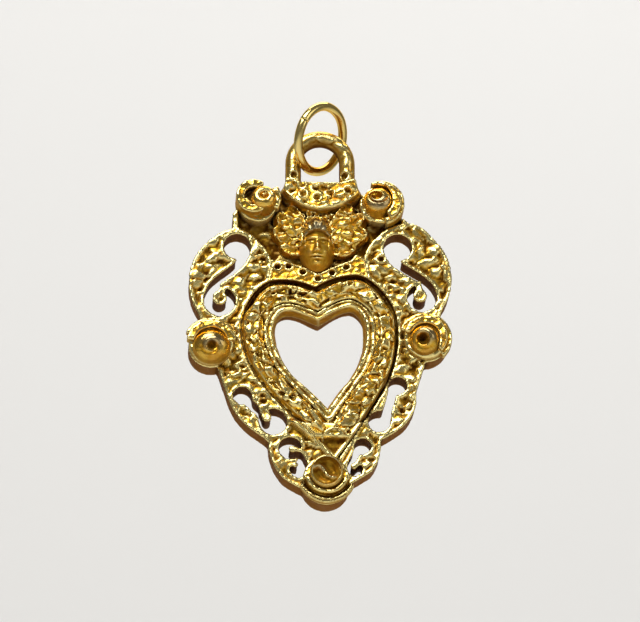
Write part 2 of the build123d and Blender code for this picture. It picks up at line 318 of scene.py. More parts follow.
def stretch(tree, vector, factor):
    """Vector times a number."""
    made = tree.nodes.new("ShaderNodeVectorMath")
    made.operation = "SCALE"
    wire(tree, vector, made.inputs["Vector"])
    wire(tree, factor, made.inputs["Scale"])
    return made.outputs["Vector"]


def ramp(tree, value, low, high, from_value=0.0, to_value=1.0):
    """Smooth step of a value between two limits."""
    made = tree.nodes.new("ShaderNodeMapRange")
    made.interpolation_type = "SMOOTHSTEP"
    names = ("Value", "From Min", "From Max", "To Min", "To Max")
    for name, given in zip(names, (value, low, high, from_value, to_value)):
        wire(tree, given, made.inputs[name])
    return made.outputs["Result"]


def blend_colours(tree, factor, first, second):
    """Colour between two colours, whose sockets are 6 and 7 of a mix node's inputs and 2 of its outputs."""
    made = tree.nodes.new("ShaderNodeMix")
    made.data_type = "RGBA"
    wire(tree, factor, made.inputs["Factor"])
    wire(tree, first, made.inputs[6])
    wire(tree, second, made.inputs[7])
    return made.outputs[2]


def cloud(tree, vector, size, detail=2.0):
    """Soft noise around one half, with lumps of about that size."""
    made = tree.nodes.new("ShaderNodeTexNoise")
    wire(tree, vector, made.inputs["Vector"])
    wire(tree, calc(tree, "DIVIDE", 1.0, size), made.inputs["Scale"])
    made.inputs["Detail"].default_value = detail
    return made.outputs["Fac"]


def wander(tree, vector, size, amount):
    """Places shifted about by soft noise, so that what is laid on them loses its regular shape."""
    made = tree.nodes.new("ShaderNodeTexNoise")
    wire(tree, vector, made.inputs["Vector"])
    made.inputs["Scale"].default_value = 1 / size
    shift = vector_calc(tree, "SUBTRACT", made.outputs["Color"], (0.5, 0.5, 0.5))
    return vector_calc(tree, "ADD", vector, stretch(tree, shift, amount))


def cells(tree, vector, size):
    """Irregular cells of about that size.

    Gives the distance from the middle, a random value for each and a plane tipped each one's own way.
    """
    made = tree.nodes.new("ShaderNodeTexVoronoi")
    made.feature = "SMOOTH_F1"
    made.inputs["Smoothness"].default_value = 0.15
    wire(tree, vector, made.inputs["Vector"])
    wire(tree, calc(tree, "DIVIDE", 1.0, size), made.inputs["Scale"])
    chance = tree.nodes.new("ShaderNodeSeparateXYZ")
    tree.links.new(made.outputs["Color"], chance.inputs[0])
    lean = vector_calc(tree, "SUBTRACT", made.outputs["Color"], (0.5, 0.5, 0.5))
    from_middle = vector_calc(tree, "SUBTRACT", vector, made.outputs["Position"])
    tipped = vector_calc(tree, "DOT_PRODUCT", from_middle, lean)
    return made.outputs["Distance"], chance.outputs[0], tipped


def end_tree(tree, geometry, metal):
    """Ends a geometry tree, with its instances made real and set in the metal."""
    whole = tree.nodes.new("GeometryNodeRealizeInstances")
    tree.links.new(geometry, whole.inputs["Geometry"])
    plated = tree.nodes.new("GeometryNodeSetMaterial")
    tree.links.new(whole.outputs["Geometry"], plated.inputs["Geometry"])
    tree.links.new(metal, plated.inputs["Material"])
    out = tree.nodes.new("NodeGroupOutput")
    tree.links.new(plated.outputs["Geometry"], out.inputs["Geometry"])


def laid_on(tree, settings):
    """Dressing for bake: a geometry tree with its named inputs set."""
    keys = {item.name: item.identifier for item in tree.interface.items_tree if item.in_out == "INPUT"}

    def dress(holder):
        layer = holder.modifiers.new("layer", "NODES")
        layer.node_group = tree
        for name, value in settings.items():
            layer[keys[name]] = value

    return dress


# Gold


def gold_tone_group():
    """Colour and gloss of patinated gold plate rubbed on its crests, from the marks on the metal and from
    occlusion, with painted shade and a painted highlight.
    """
    tree = bpy.data.node_groups.new("worn gold tone", "ShaderNodeTree")
    add_sockets(
        tree, "INPUT", "Color", "Gold", "Warm gold", "Rubbed and highlit gold", "Shade and patina colour", "Wall shade and reflection", "Base metal",
    )
    add_sockets(tree, "INPUT", "Float", "Shade and patina amount", "Wall shade amount", "Gloss", "Shade reach")
    add_sockets(tree, "OUTPUT", "Color", "Tone")
    add_sockets(tree, "OUTPUT", "Float", "Roughness", "Metal share", "Grain")
    given = tree.nodes.new("NodeGroupInput").outputs
    out = tree.nodes.new("NodeGroupOutput")
    place = tree.nodes.new("ShaderNodeTexCoord").outputs["Object"]
    marks = {}
    for name in ("patina_shade_mark", "rubbed and highlit", "wall", "bared"):
        made = tree.nodes.new("ShaderNodeAttribute")
        made.attribute_name = name
        marks[name] = made.outputs["Fac"]
    # Painted shade: occlusion within the shade reach darkens crevices, cut-outs and the ground beside
    # raised parts
    shade = tree.nodes.new("ShaderNodeAmbientOcclusion")
    shade.samples = 8
    wire(tree, given["Shade reach"], shade.inputs["Distance"])
    occlusion_shade = ramp(tree, shade.outputs["AO"], 0.55, 0.1)
    mottle = cloud(tree, place, size=0.0007, detail=3.0)
    fine = cloud(tree, place, size=0.00009, detail=3.0)
    # Patina in the concave places, joined with painted shade from occlusion and from the pieces' darkened
    # marks, mottled
    patina_and_shade = calc(tree, "MAXIMUM", marks["patina_shade_mark"], occlusion_shade)
    patina_and_shade = calc(tree, "MULTIPLY", patina_and_shade, ramp(tree, mottle, 0.25, 0.6, 0.6, 1.0))
    patina_and_shade = calc(tree, "MULTIPLY", patina_and_shade, given["Shade and patina amount"])
    patina_and_shade = calc(tree, "MINIMUM", patina_and_shade, 1.0)
    # Painted shade and painted reflection on the walls, in a brown wall colour that is rougher and less
    # metallic
    wall_shade = calc(tree, "MULTIPLY", marks["wall"], given["Wall shade amount"])
    tone = blend_colours(tree, ramp(tree, mottle, 0.4, 0.62), given["Gold"], given["Warm gold"])
    # Rubbed gold on the crests, partly wear and partly a painted highlight
    tone = blend_colours(tree, marks["rubbed and highlit"], tone, given["Rubbed and highlit gold"])
    rubbed_off = calc(tree, "MULTIPLY", marks["bared"], ramp(tree, mottle, 0.3, 0.55, 0.55, 1.0))
    tone = blend_colours(tree, rubbed_off, tone, given["Base metal"])
    tone = blend_colours(tree, wall_shade, tone, given["Wall shade and reflection"])
    tone = blend_colours(tree, patina_and_shade, tone, given["Shade and patina colour"])
    tree.links.new(tone, out.inputs["Tone"])
    rough = calc(tree, "ADD", given["Gloss"], calc(tree, "MULTIPLY", patina_and_shade, 0.2))
    rough = calc(tree, "ADD", rough, calc(tree, "MULTIPLY", wall_shade, 0.35))
    rough = calc(tree, "SUBTRACT", rough, calc(tree, "MULTIPLY", marks["rubbed and highlit"], 0.05))
    rough = calc(tree, "ADD", rough, ramp(tree, mottle, 0.3, 0.7, -0.04, 0.06))
    tree.links.new(rough, out.inputs["Roughness"])
    # Patina and painted shade make the metal less metallic
    shade_and_patina_cover = calc(tree, "MAXIMUM", calc(tree, "MULTIPLY", patina_and_shade, 0.6), wall_shade)
    tree.links.new(calc(tree, "SUBTRACT", 1.0, shade_and_patina_cover), out.inputs["Metal share"])
    tree.links.new(fine, out.inputs["Grain"])
    return tree


gold_tone = gold_tone_group()


def gold(name, gloss, shade_and_patina_amount, wall_shade_amount, grain):
    """Gold plate over cast metal."""
    material = bpy.data.materials.new(name)
    material.use_nodes = True
    tree = material.node_tree
    shader = tree.nodes["Principled BSDF"]
    tone = tree.nodes.new("ShaderNodeGroup")
    tone.node_tree = gold_tone
    # The rubbed gold also paints a highlight, the patina colour also paints shade, and the wall colour
    # paints shade and reflection on the walls
    for key, value in {
        "Gold": (0.88, 0.52, 0.045, 1),
        "Warm gold": (0.88, 0.42, 0.025, 1),
        "Rubbed and highlit gold": (1.0, 0.84, 0.34, 1),
        "Shade and patina colour": (0.08, 0.026, 0.001, 1),
        "Wall shade and reflection": (0.2, 0.065, 0.004, 1),
        "Base metal": (0.42, 0.35, 0.2, 1),
        "Shade and patina amount": shade_and_patina_amount,
        "Wall shade amount": wall_shade_amount,
        "Gloss": gloss,
        "Shade reach": 0.001,
    }.items():
        tone.inputs[key].default_value = value
    tree.links.new(tone.outputs["Tone"], shader.inputs["Base Color"])
    tree.links.new(tone.outputs["Roughness"], shader.inputs["Roughness"])
    tree.links.new(tone.outputs["Metal share"], shader.inputs["Metallic"])
    shader.inputs["Specular Tint"].default_value = (1.0, 0.72, 0.3, 1)
    shader.inputs["Specular IOR Level"].default_value = 0.05
    bump = tree.nodes.new("ShaderNodeBump")
    bump.inputs["Strength"].default_value = grain
    bump.inputs["Distance"].default_value = 0.00003
    tree.links.new(tone.outputs["Grain"], bump.inputs["Height"])
    tree.links.new(bump.outputs["Normal"], shader.inputs["Normal"])
    return material


golds = {
    "plate_gold": gold("hammered gold plate", gloss=0.26, shade_and_patina_amount=1.0, wall_shade_amount=0.95, grain=0.4),
    "heart_gold": gold("hammered heart gold", gloss=0.24, shade_and_patina_amount=1.0, wall_shade_amount=0.75, grain=0.35),
    "figure_gold": gold("cast figure gold", gloss=0.28, shade_and_patina_amount=0.9, wall_shade_amount=0.1, grain=0.3),
    "rose_gold_plate": gold(
        "burnished rose gold plate", gloss=0.22, shade_and_patina_amount=0.9, wall_shade_amount=0.5, grain=0.2,
    ),
    "ring_wire": gold("drawn gold wire", gloss=0.18, shade_and_patina_amount=0.6, wall_shade_amount=0.0, grain=0.15),
}


# Hammered finish, laid over a surface by geometry nodes


def hammered_finish():
    """Dents, pits and ripples over the front, fading out at a raised rim along every edge."""
    tree = bpy.data.node_groups.new("hammered finish", "GeometryNodeTree")
    add_sockets(tree, "INPUT", "Geometry", "Geometry")
    add_sockets(
        tree, "INPUT", "Float", "Dent size", "Dent depth", "Pit size", "Pit depth", "Ripple size",
        "Ripple depth", "Rim width", "Rim height", "Facet tip", "Ground", "Ground dents", "Seed",
    )
    add_sockets(tree, "INPUT", "Material", "Metal")
    add_sockets(tree, "OUTPUT", "Geometry", "Geometry")
    given = tree.nodes.new("NodeGroupInput").outputs
    normal = tree.nodes.new("GeometryNodeInputNormal").outputs[0]
    place = tree.nodes.new("GeometryNodeInputPosition").outputs[0]
    facing = vector_calc(tree, "DOT_PRODUCT", normal, (0, -1, 0))

    walls = tree.nodes.new("GeometryNodeSeparateGeometry")
    walls.domain = "FACE"
    tree.links.new(given["Geometry"], walls.inputs["Geometry"])
    tree.links.new(calc(tree, "LESS_THAN", facing, 0.35), walls.inputs["Selection"])
    near = tree.nodes.new("GeometryNodeProximity")
    near.target_element = "FACES"
    tree.links.new(walls.outputs["Selection"], near.inputs["Geometry"])
    away = near.outputs["Distance"]
    front = ramp(tree, facing, 0.35, 0.75)
    rim = calc(tree, "MULTIPLY", ramp(tree, away, 0.0, given["Rim width"], 1.0, 0.0), given["Rim height"])
    rim_foot = calc(tree, "MULTIPLY", given["Rim width"], 0.6)
    inside = ramp(tree, away, rim_foot, calc(tree, "MULTIPLY", given["Rim width"], 1.7))
    seeded = vector_calc(tree, "ADD", place, stretch(tree, (7.3, 3.1, 5.7), given["Seed"]))
    seeded = vector_calc(tree, "MULTIPLY", wander(tree, seeded, 0.9, 0.45), (0.68, 1.0, 1.0))

    reach, chance, tipped = cells(tree, seeded, given["Dent size"])
    lump = calc(tree, "SUBTRACT", 0.75, calc(tree, "MULTIPLY", reach, 2.0))
    lump = calc(tree, "SMOOTH_MIN", lump, 0.35, 0.3)
    uneven = calc(tree, "ADD", calc(tree, "MULTIPLY", chance, 1.4), 0.3)
    dents = calc(tree, "MULTIPLY", calc(tree, "MULTIPLY", lump, uneven), given["Dent depth"])
    dents = calc(tree, "ADD", dents, calc(tree, "MULTIPLY", tipped, given["Facet tip"]))
    pit_reach, pit_chance, _ = cells(tree, seeded, given["Pit size"])
    struck = calc(tree, "GREATER_THAN", pit_chance, 0.62)
    pit = calc(tree, "MULTIPLY", ramp(tree, pit_reach, 0.5, 0.15), struck)
    dents = calc(tree, "SUBTRACT", dents, calc(tree, "MULTIPLY", pit, given["Pit depth"]))
    ripple = calc(tree, "SUBTRACT", cloud(tree, seeded, given["Ripple size"]), 0.5)
    ripple = calc(tree, "MULTIPLY", ripple, given["Ripple depth"])

    depth = tree.nodes.new("ShaderNodeSeparateXYZ")
    tree.links.new(place, depth.inputs[0])
    sunk = calc(tree, "GREATER_THAN", depth.outputs["Y"], given["Ground"])
    smooth_ground = calc(tree, "MULTIPLY", sunk, calc(tree, "SUBTRACT", 1.0, given["Ground dents"]))
    beaten = calc(tree, "MULTIPLY", calc(tree, "ADD", dents, ripple), inside)
    beaten = calc(tree, "MULTIPLY", beaten, calc(tree, "SUBTRACT", 1.0, smooth_ground))
    beaten = calc(tree, "MULTIPLY", calc(tree, "ADD", beaten, rim), front)
    cast = calc(tree, "MULTIPLY", ripple, calc(tree, "SUBTRACT", 1.0, front))
    cast = calc(tree, "MULTIPLY", cast, 0.35)
    move = tree.nodes.new("GeometryNodeSetPosition")
    tree.links.new(given["Geometry"], move.inputs["Geometry"])
    tree.links.new(stretch(tree, normal, calc(tree, "ADD", beaten, cast)), move.inputs["Offset"])
    end_tree(tree, move.outputs["Geometry"], given["Metal"])
    return tree


hammer = hammered_finish()


def hammered(mesh, slot, **settings):
    """Mesh with the hammered finish beaten into it."""
    values = {
        "Dent size": 0.42, "Dent depth": 0.0, "Pit size": 0.3, "Pit depth": 0.0, "Ripple size": 0.25,
        "Ripple depth": 0.08, "Rim width": 0.1, "Rim height": 0.0, "Facet tip": 0.0, "Ground": 100.0,
        "Ground dents": 1.0, "Seed": 1.0, "Metal": golds[slot],
    }
    values.update({key.replace("_", " ").capitalize(): value for key, value in settings.items()})
    return bake(mesh, laid_on(hammer, values))


def set_piece(mesh, name, nodes, body, slot, hollow_depth=0.045, rubbed_and_highlit_height=0.04, bared=0, darkened=0):
    """Puts a finished mesh into the frame, in metres, standing for its solids."""
    mark_wear_and_painted_light(mesh, hollow_depth, rubbed_and_highlit_height, bared, darkened)
    mesh.name = name
    mesh.transform(Matrix.Scale(MM, 4))
    mesh.polygons.foreach_set("use_smooth", [True] * len(mesh.polygons))
    mesh.materials.clear()
    mesh.materials.append(golds[slot])
    piece = bpy.data.objects.new(name, mesh)
    bpy.context.scene.collection.objects.link(piece)
    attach(piece, body)
    if nodes:
        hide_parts(*nodes)


# Pierced plate
plate = soft_cast(cad_copy("pierced_plate"), grain=0.107, rounds=4)
plate = hammered(
    plate, "plate_gold", dent_size=0.72, dent_depth=0.12, facet_tip=0.8, pit_size=0.55, pit_depth=0.26,
    ripple_size=0.5, ripple_depth=0.2, rim_width=0.22, rim_height=0.14, ground=BACK - (FIELD + PANEL) / 2,
    ground_dents=0.22, seed=2,
)

# Cove in the plate under the band's tip: a V that stands on its foot, lumpy in its upper part
COVE_X, COVE_FOOT, COVE_TOP = 1.15, -22.4, -18.9
COVE_FLOOR, LUMPS_FOOT = 2.3, -20.75
# Each side's run for a millimetre of drop, and its length along the slant
LEFT_RUN, LEFT_SLANT = 1.15, 1.52
RIGHT_RUN, RIGHT_SLANT = 0.69, 1.21
x, drop, height = face_places(plate)
above_foot = drop - COVE_FOOT
inside = np.minimum(
    (x - COVE_X + LEFT_RUN * above_foot) / LEFT_SLANT,
    (COVE_X - x + RIGHT_RUN * above_foot) / RIGHT_SLANT,
)
cove = step(0.0, 0.2, inside) * step(COVE_TOP, COVE_TOP - 0.5, drop) * (height > 1.0)
lumpy = step(LUMPS_FOOT, LUMPS_FOOT + 0.4, drop)
cove_floor = COVE_FLOOR - 0.25 * step(0.0, 0.7, inside) + 0.45 * lumpy
push_forward(plate, cove * np.clip(cove_floor - height, 0, None))
cove_lumps = [
    (0.45, -20.0, 0.26, 0.22, 0.16), (1.0, -19.85, 0.28, 0.2, 0.18), (1.5, -20.05, 0.24, 0.24, 0.14),
    (0.75, -20.4, 0.24, 0.18, 0.12), (1.25, -20.45, 0.26, 0.16, 0.14),
]
model(plate, cove_lumps)

# Two deep pits beside the wings, a dot on the right panel, and painted shade on the sunk field and in the
# cove's smooth lower part
wing_pits = [(-3.48, -2.81), (2.6, -2.05)]
punch(plate, wing_pits, radius=0.3, depth=0.6, lip=0.04)
panel_dot = (4.65, -5.85)
punch(plate, [panel_dot], radius=0.24, depth=0.35, lip=0.05, above=1.6)
_, _, height = face_places(plate)
sunk = step(PANEL - 0.2, FIELD + 0.1, height) * step(FIELD - 0.5, FIELD - 0.2, height)
dark_ground = np.maximum(sunk * facing_front(plate, 0.2, 0.6), cove * (0.75 - 0.65 * lumpy))
set_piece(
    plate, "plate", ["pierced_plate"], "charm", "plate_gold", hollow_depth=0.03, rubbed_and_highlit_height=0.025,
    darkened=dark_ground,
)

# Heart band, its foot flared where the groove beside it is narrow, and its sides drawn in
band = soft_cast(cad_copy("heart_band"), grain=0.075, rounds=5)
x, drop, _ = face_places(band)
arcs = step(ARCS_FOOT, ARCS_TOP, drop)
open_groove = np.maximum(arcs, 0.8 * step(1.0, 2.5, x))
flare_foot(band, foot=1.75, top=2.3, spread=0.27 - 0.22 * open_groove)
flare_foot(band, foot=2.1, top=2.4, spread=0.14 - 0.14 * arcs, inward=True)
outward = sideways_of(band, rounds=30)
drawn_in = np.where(facing_out(band, outward) > 0, 0.28 * arcs, 0.2 - 0.2 * arcs)
nudge(band, outward, -drawn_in)
band = hammered(
    band, "heart_gold", dent_size=0.85, dent_depth=0.12, facet_tip=0.9, pit_size=0.6, pit_depth=0.22,
    ripple_size=0.5, ripple_depth=0.18, rim_width=0.14, seed=5,
)
band_dots = [(2.2, -8.2), (1.65, -7.85)]
punch(band, band_dots, radius=0.2, depth=0.25, lip=0.06, above=2.2)
set_piece(band, "band", ["heart_band"], "charm", "heart_gold", hollow_depth=0.036, rubbed_and_highlit_height=0.02)

# Bead on the edge of the opening, broadened to a double ridge that leaves the square way through it clear
WAY_DROP, WAY_HALF_WIDTH = -17.4 - TOP, 2.03
bead = soft_cast(cad_copy("heart_rim"), grain=0.055, rounds=5)
spread = sideways_of(bead, rounds=12)
x, drop, _ = face_places(bead)
past_side = np.maximum(np.abs(x - HEART_X) - WAY_HALF_WIDTH, 0)
past_end = np.maximum(np.abs(drop - WAY_DROP) - WAY_HALF_WIDTH, 0)
clear = np.hypot(past_side, past_end)
spread_in = np.minimum(0.08 + 0.15 * step(0.05, 1.5, clear), clear)
spread_out = 0.24 - 0.2 * step(ARCS_FOOT, ARCS_TOP, drop)
nudge(bead, spread, np.where(facing_out(bead, spread) > 0, spread_out, spread_in))
crease = np.exp(-((np.linalg.norm(spread, axis=1) / 0.2) ** 2))
push_forward(bead, 0.06 - 0.16 * crease)
bead = hammered(bead, "heart_gold", ripple_size=0.7, ripple_depth=0.35, rim_width=0.02, seed=3)
# Painted shade in the crease between the bead's two ridges
set_piece(
    bead, "bead", ["heart_rim"], "charm", "heart_gold", rubbed_and_highlit_height=0.02,
    darkened=0.6 * crease * facing_front(bead, 0.3, 0.7),
)

# Collar with its row of punched dots
collar = soft_cast(cad_copy("punched_collar"), grain=0.06, rounds=4)
collar = hammered(
    collar, "heart_gold", dent_depth=0.05, ripple_size=0.4, ripple_depth=0.15, rim_width=0.12,
    rim_height=0.06, seed=4,
)
collar_dots = [(-3.3, -6.65), (-2.44, -6.62), (-1.37, -7.06), (-0.2, -7.58), (0.87, -7.06), (1.98, -6.6)]
punch(collar, collar_dots, radius=0.23, depth=0.42, lip=0.05)
set_piece(collar, "collar", ["punched_collar"], "charm", "heart_gold")

# Hanger: a ring-punched bib that leans forward over a spread foot, and the eyelet, beaten less than the bib
EYELET_X, EYELET_DROP = 0.0, -1.85 - TOP
BIB_FRONT = FIELD + 0.6
bail = soft_cast(cad_copy("hanger"), grain=0.08, rounds=6)
swell(bail, 0.07)
_, drop, height = face_places(bail)
push_forward(bail, np.where(height > BIB_FRONT, 0.3 * step(-0.2, -2.0, drop), 0))
nudge(bail, sideways_of(bail), 0.5 * step(2.6, FIELD, height) * step(-0.1, -0.6, drop))
drawn = points_of(bail)
bail = hammered(
    bail, "plate_gold", dent_size=0.7, dent_depth=0.1, facet_tip=0.6, pit_size=0.5, pit_depth=0.16,
    ripple_size=0.5, ripple_depth=0.22, rim_width=0.1, seed=6,
)
beaten_share = 0.15 + 0.85 * step(0.5, -0.1, drop)
put_points(bail, drawn + (points_of(bail) - drawn) * beaten_share[:, None])
bib_rings = [(-1.45, -0.07), (-0.38, -0.3), (-1.37, -0.88), (-0.31, -1.12), (0.7, -0.75), (2.06, -0.5)]
punch(bail, bib_rings, radius=0.25, depth=0.14, lip=0.1, above=BIB_FRONT)
foot_pits = [(-2.05, 1.0), (1.85, 1.0)]
punch(bail, foot_pits, radius=0.26, depth=0.3, lip=0.03)

# Painted shade in the pits at the eyelet's feet and on the eyelet's inner face
x, drop, _ = face_places(bail)
pitted = sum(0.9 * step(0.34, 0.2, np.hypot(x - at_x, drop - at_drop)) for at_x, at_drop in foot_pits)
to_hole = np.column_stack((EYELET_X - x, EYELET_DROP - drop))
to_hole /= np.linalg.norm(to_hole, axis=1)[:, None]
inner = np.einsum("ij,ij->i", normals_of(bail)[:, ::2], to_hole)
inner_face = 0.75 * step(0.1, 0.6, inner) * step(0.2, 0.8, drop)
set_piece(
    bail, "bail", ["hanger"], "charm", "plate_gold", hollow_depth=0.06, rubbed_and_highlit_height=0.03,
    darkened=np.maximum(pitted, inner_face),
)

# Wings, with a hollow in each shoulder
shoulder_hollows = [(-2.15, -2.05, 0.5, 0.5, -0.4), (2.0, -1.75, 0.5, 0.5, -0.4)]
for side, seed in (("left", 7), ("right", 8)):
    wing = soft_cast(cad_copy(f"wing_{side}"), grain=0.055, rounds=3)
    wing = fill_slits(wing, width=0.4, grain=0.06)
    flare_foot(wing, foot=1.4, top=2.4, spread=0.3)
    wing = hammered(
        wing, "figure_gold", dent_size=0.55, dent_depth=0.2, facet_tip=0.6, pit_size=0.6, pit_depth=0.2,
        ripple_size=0.4, ripple_depth=0.2, rim_width=0.03, seed=seed,
    )
    model(wing, shoulder_hollows)
    set_piece(wing, f"wing_{side}_feathers", [f"wing_{side}"], "charm", "figure_gold")

# Cherub's head: a calm child's face on plain proportions, eyes half way down and the face in thirds
HEAD_X, CROWN, CHIN = -0.3, -2.75, -6.8
HEAD_WIDTH = 2.3
HAIRLINE = CROWN + 0.19 * (CHIN - CROWN)
BROW = HAIRLINE + (CHIN - HAIRLINE) / 3
NOSE_FOOT = HAIRLINE + (CHIN - HAIRLINE) * 2 / 3
EYES = (CROWN + CHIN) / 2 - 0.05
MOUTH = NOSE_FOOT + (CHIN - NOSE_FOOT) / 3
EYE_WIDTH = HEAD_WIDTH / 5
head = soft_cast(cad_copy("cherub_head"), grain=0.045, rounds=8)
flare_foot(head, foot=1.5, top=2.6, spread=0.3)
face = [
    # Bridge and tip of the nose
    (HEAD_X, (EYES + NOSE_FOOT) / 2 + 0.05, 0.14, 0.42, 0.2),
    (HEAD_X, NOSE_FOOT + 0.1, 0.21, 0.16, 0.26),
    # Upper lip, line of the mouth, lower lip and the dip under it
    (HEAD_X, MOUTH + 0.09, 0.32, 0.08, 0.12),
    (HEAD_X, MOUTH, 0.38, 0.055, -0.18),
    (HEAD_X, MOUTH - 0.11, 0.26, 0.09, 0.14),
    (HEAD_X, MOUTH - 0.26, 0.24, 0.08, -0.1),
    # Chin
    (HEAD_X, CHIN + 0.25, 0.32, 0.2, 0.14),
]
for way in (-1, 1):
    eye_x = HEAD_X + way * EYE_WIDTH
    face += [
        # Eye socket, lid and brow
        (eye_x, EYES, 0.3, 0.22, -0.3),
        (eye_x, EYES - 0.02, 0.2, 0.12, 0.2),
        (eye_x, BROW + 0.04, 0.34, 0.1, 0.1),
        # Side of the nose, and cheek
        (HEAD_X + way * 0.19, NOSE_FOOT + 0.05, 0.11, 0.1, 0.1),
        (HEAD_X + way * 0.62, (NOSE_FOOT + MOUTH) / 2 + 0.15, 0.36, 0.32, 0.16),
    ]
model(head, face)

# Cap of hair, in locks that run out from the brow and twist a little
LOCKS, TWIST = 13, 3
x, drop, height = face_places(head)
locks = np.sin(LOCKS * np.arctan2(drop - BROW, x - HEAD_X) + TWIST * np.hypot(x - HEAD_X, drop - BROW))
fringe = HAIRLINE - 0.5 - 0.3 * (x - HEAD_X) ** 2
cap = step(fringe - 0.08, fringe + 0.08, drop)
sides = step(0.8, 0.95, np.abs(x - HEAD_X)) * step(MOUTH, EYES, drop)
dome = 0.3 * oval(x, drop, HEAD_X, HAIRLINE, 0.9, 0.6)
push_forward(head, dome * cap + (0.16 + 0.06 * locks) * np.maximum(cap, sides))
set_piece(
    head, "head", ["cherub_head"], "charm", "figure_gold", hollow_depth=0.03,
    bared=cap * step(1.8, 2.3, height), darkened=0.55 * (1 - cap),
)


# Curls behind the head, set along two arcs by geometry nodes


def curl_row():
    """Lumps set along an arc on the charm's face, each a small rolled curl."""
    tree = bpy.data.node_groups.new("row of curls", "GeometryNodeTree")
    add_sockets(tree, "INPUT", "Float", "Radius", "First angle", "Sweep", "Curl size")
    add_sockets(tree, "INPUT", "Int", "Count")
    add_sockets(tree, "INPUT", "Material", "Metal")
    add_sockets(tree, "OUTPUT", "Geometry", "Geometry")
    given = tree.nodes.new("NodeGroupInput").outputs
    arc = tree.nodes.new("GeometryNodeCurveArc")
    tree.links.new(given["Radius"], arc.inputs["Radius"])
    tree.links.new(given["First angle"], arc.inputs["Start Angle"])
    tree.links.new(given["Sweep"], arc.inputs["Sweep Angle"])
    spots = tree.nodes.new("GeometryNodeCurveToPoints")
    tree.links.new(arc.outputs["Curve"], spots.inputs["Curve"])
    tree.links.new(given["Count"], spots.inputs["Count"])
    ring = tree.nodes.new("GeometryNodeCurvePrimitiveCircle")
    ring.inputs["Resolution"].default_value = 14
    tree.links.new(calc(tree, "MULTIPLY", given["Curl size"], 0.55), ring.inputs["Radius"])
    strand = tree.nodes.new("GeometryNodeCurvePrimitiveCircle")
    strand.inputs["Resolution"].default_value = 8
    tree.links.new(calc(tree, "MULTIPLY", given["Curl size"], 0.45), strand.inputs["Radius"])
    roll = tree.nodes.new("GeometryNodeCurveToMesh")
    tree.links.new(ring.outputs["Curve"], roll.inputs["Curve"])
    tree.links.new(strand.outputs["Curve"], roll.inputs["Profile Curve"])
    set_on = tree.nodes.new("GeometryNodeInstanceOnPoints")
    tree.links.new(spots.outputs["Points"], set_on.inputs["Points"])
    tree.links.new(roll.outputs["Mesh"], set_on.inputs["Instance"])
    # A random number's limits are sockets 2 and 3 of the node's inputs, and the number is 1 of its outputs
    vary = tree.nodes.new("FunctionNodeRandomValue")
    vary.inputs[2].default_value = 0.8
    vary.inputs[3].default_value = 1.15
    vary.inputs["Seed"].default_value = 11
    tree.links.new(vary.outputs[1], set_on.inputs["Scale"])
    end_tree(tree, set_on.outputs["Instances"], given["Metal"])
    return tree


CURLS_DROP, CURL_SIZE = -4.15, 0.27
curl_tree = curl_row()
rows_of_curls = bmesh.new()
for radius, count, rise in ((1.45, 9, 0.85), (1.95, 11, 0.7)):
    settings = {
        "Radius": radius, "First angle": radians(5), "Sweep": radians(170), "Count": count,
        "Curl size": CURL_SIZE, "Metal": golds["figure_gold"],
    }
    row = bake(bpy.data.meshes.new("row of curls"), laid_on(curl_tree, settings))
    middle = Matrix.Translation((HEAD_X, BACK - FIELD - rise, TOP + CURLS_DROP))
    row.transform(middle @ Matrix.Rotation(pi / 2, 4, "X"))
    rows_of_curls.from_mesh(row)
curls = bpy.data.meshes.new("curls")
rows_of_curls.to_mesh(curls)
rows_of_curls.free()
curls = soft_cast(curls, grain=0.05, rounds=3)
curls = hammered(
    curls, "figure_gold", dent_size=0.5, dent_depth=0.25, ripple_size=0.4, ripple_depth=0.3,
    rim_width=0.02, seed=9,
)
set_piece(curls, "curls", [], "charm", "figure_gold")

# Roses: a rounded bud and the petals round it, each with its own small unevenness
# A side bud's lumps are its crown and its pit, and the base bud's lie along an S-shaped curl
BUD_LUMPS = {
    "top_left": [(-4.42, -1.3, 0.16, 0.16, 0.22)],
    "top_right": [],
    "side_left": [(-8.33, -13.6, 1.25, 1.2, 0.35), (-8.35, -13.72, 0.26, 0.24, -0.5)],
    "side_right": [(7.85, -12.65, 1.0, 0.95, 0.35), (7.7, -12.7, 0.3, 0.28, -0.7)],
    "base": [
        (-0.52, -23.22, 0.28, 0.22, 0.36), (-0.15, -23.05, 0.28, 0.22, 0.42),
        (0.15, -23.32, 0.26, 0.26, 0.44), (0.38, -23.7, 0.26, 0.26, 0.44), (0.8, -23.92, 0.32, 0.22, 0.4),
    ],
}
BASE_BUD = (0.4, -23.35)
BASE_PETALS = (0.45, -23.35)
BASE_GROOVE_RADIUS, BASE_EDGE_RADIUS = 1.85, 2.12


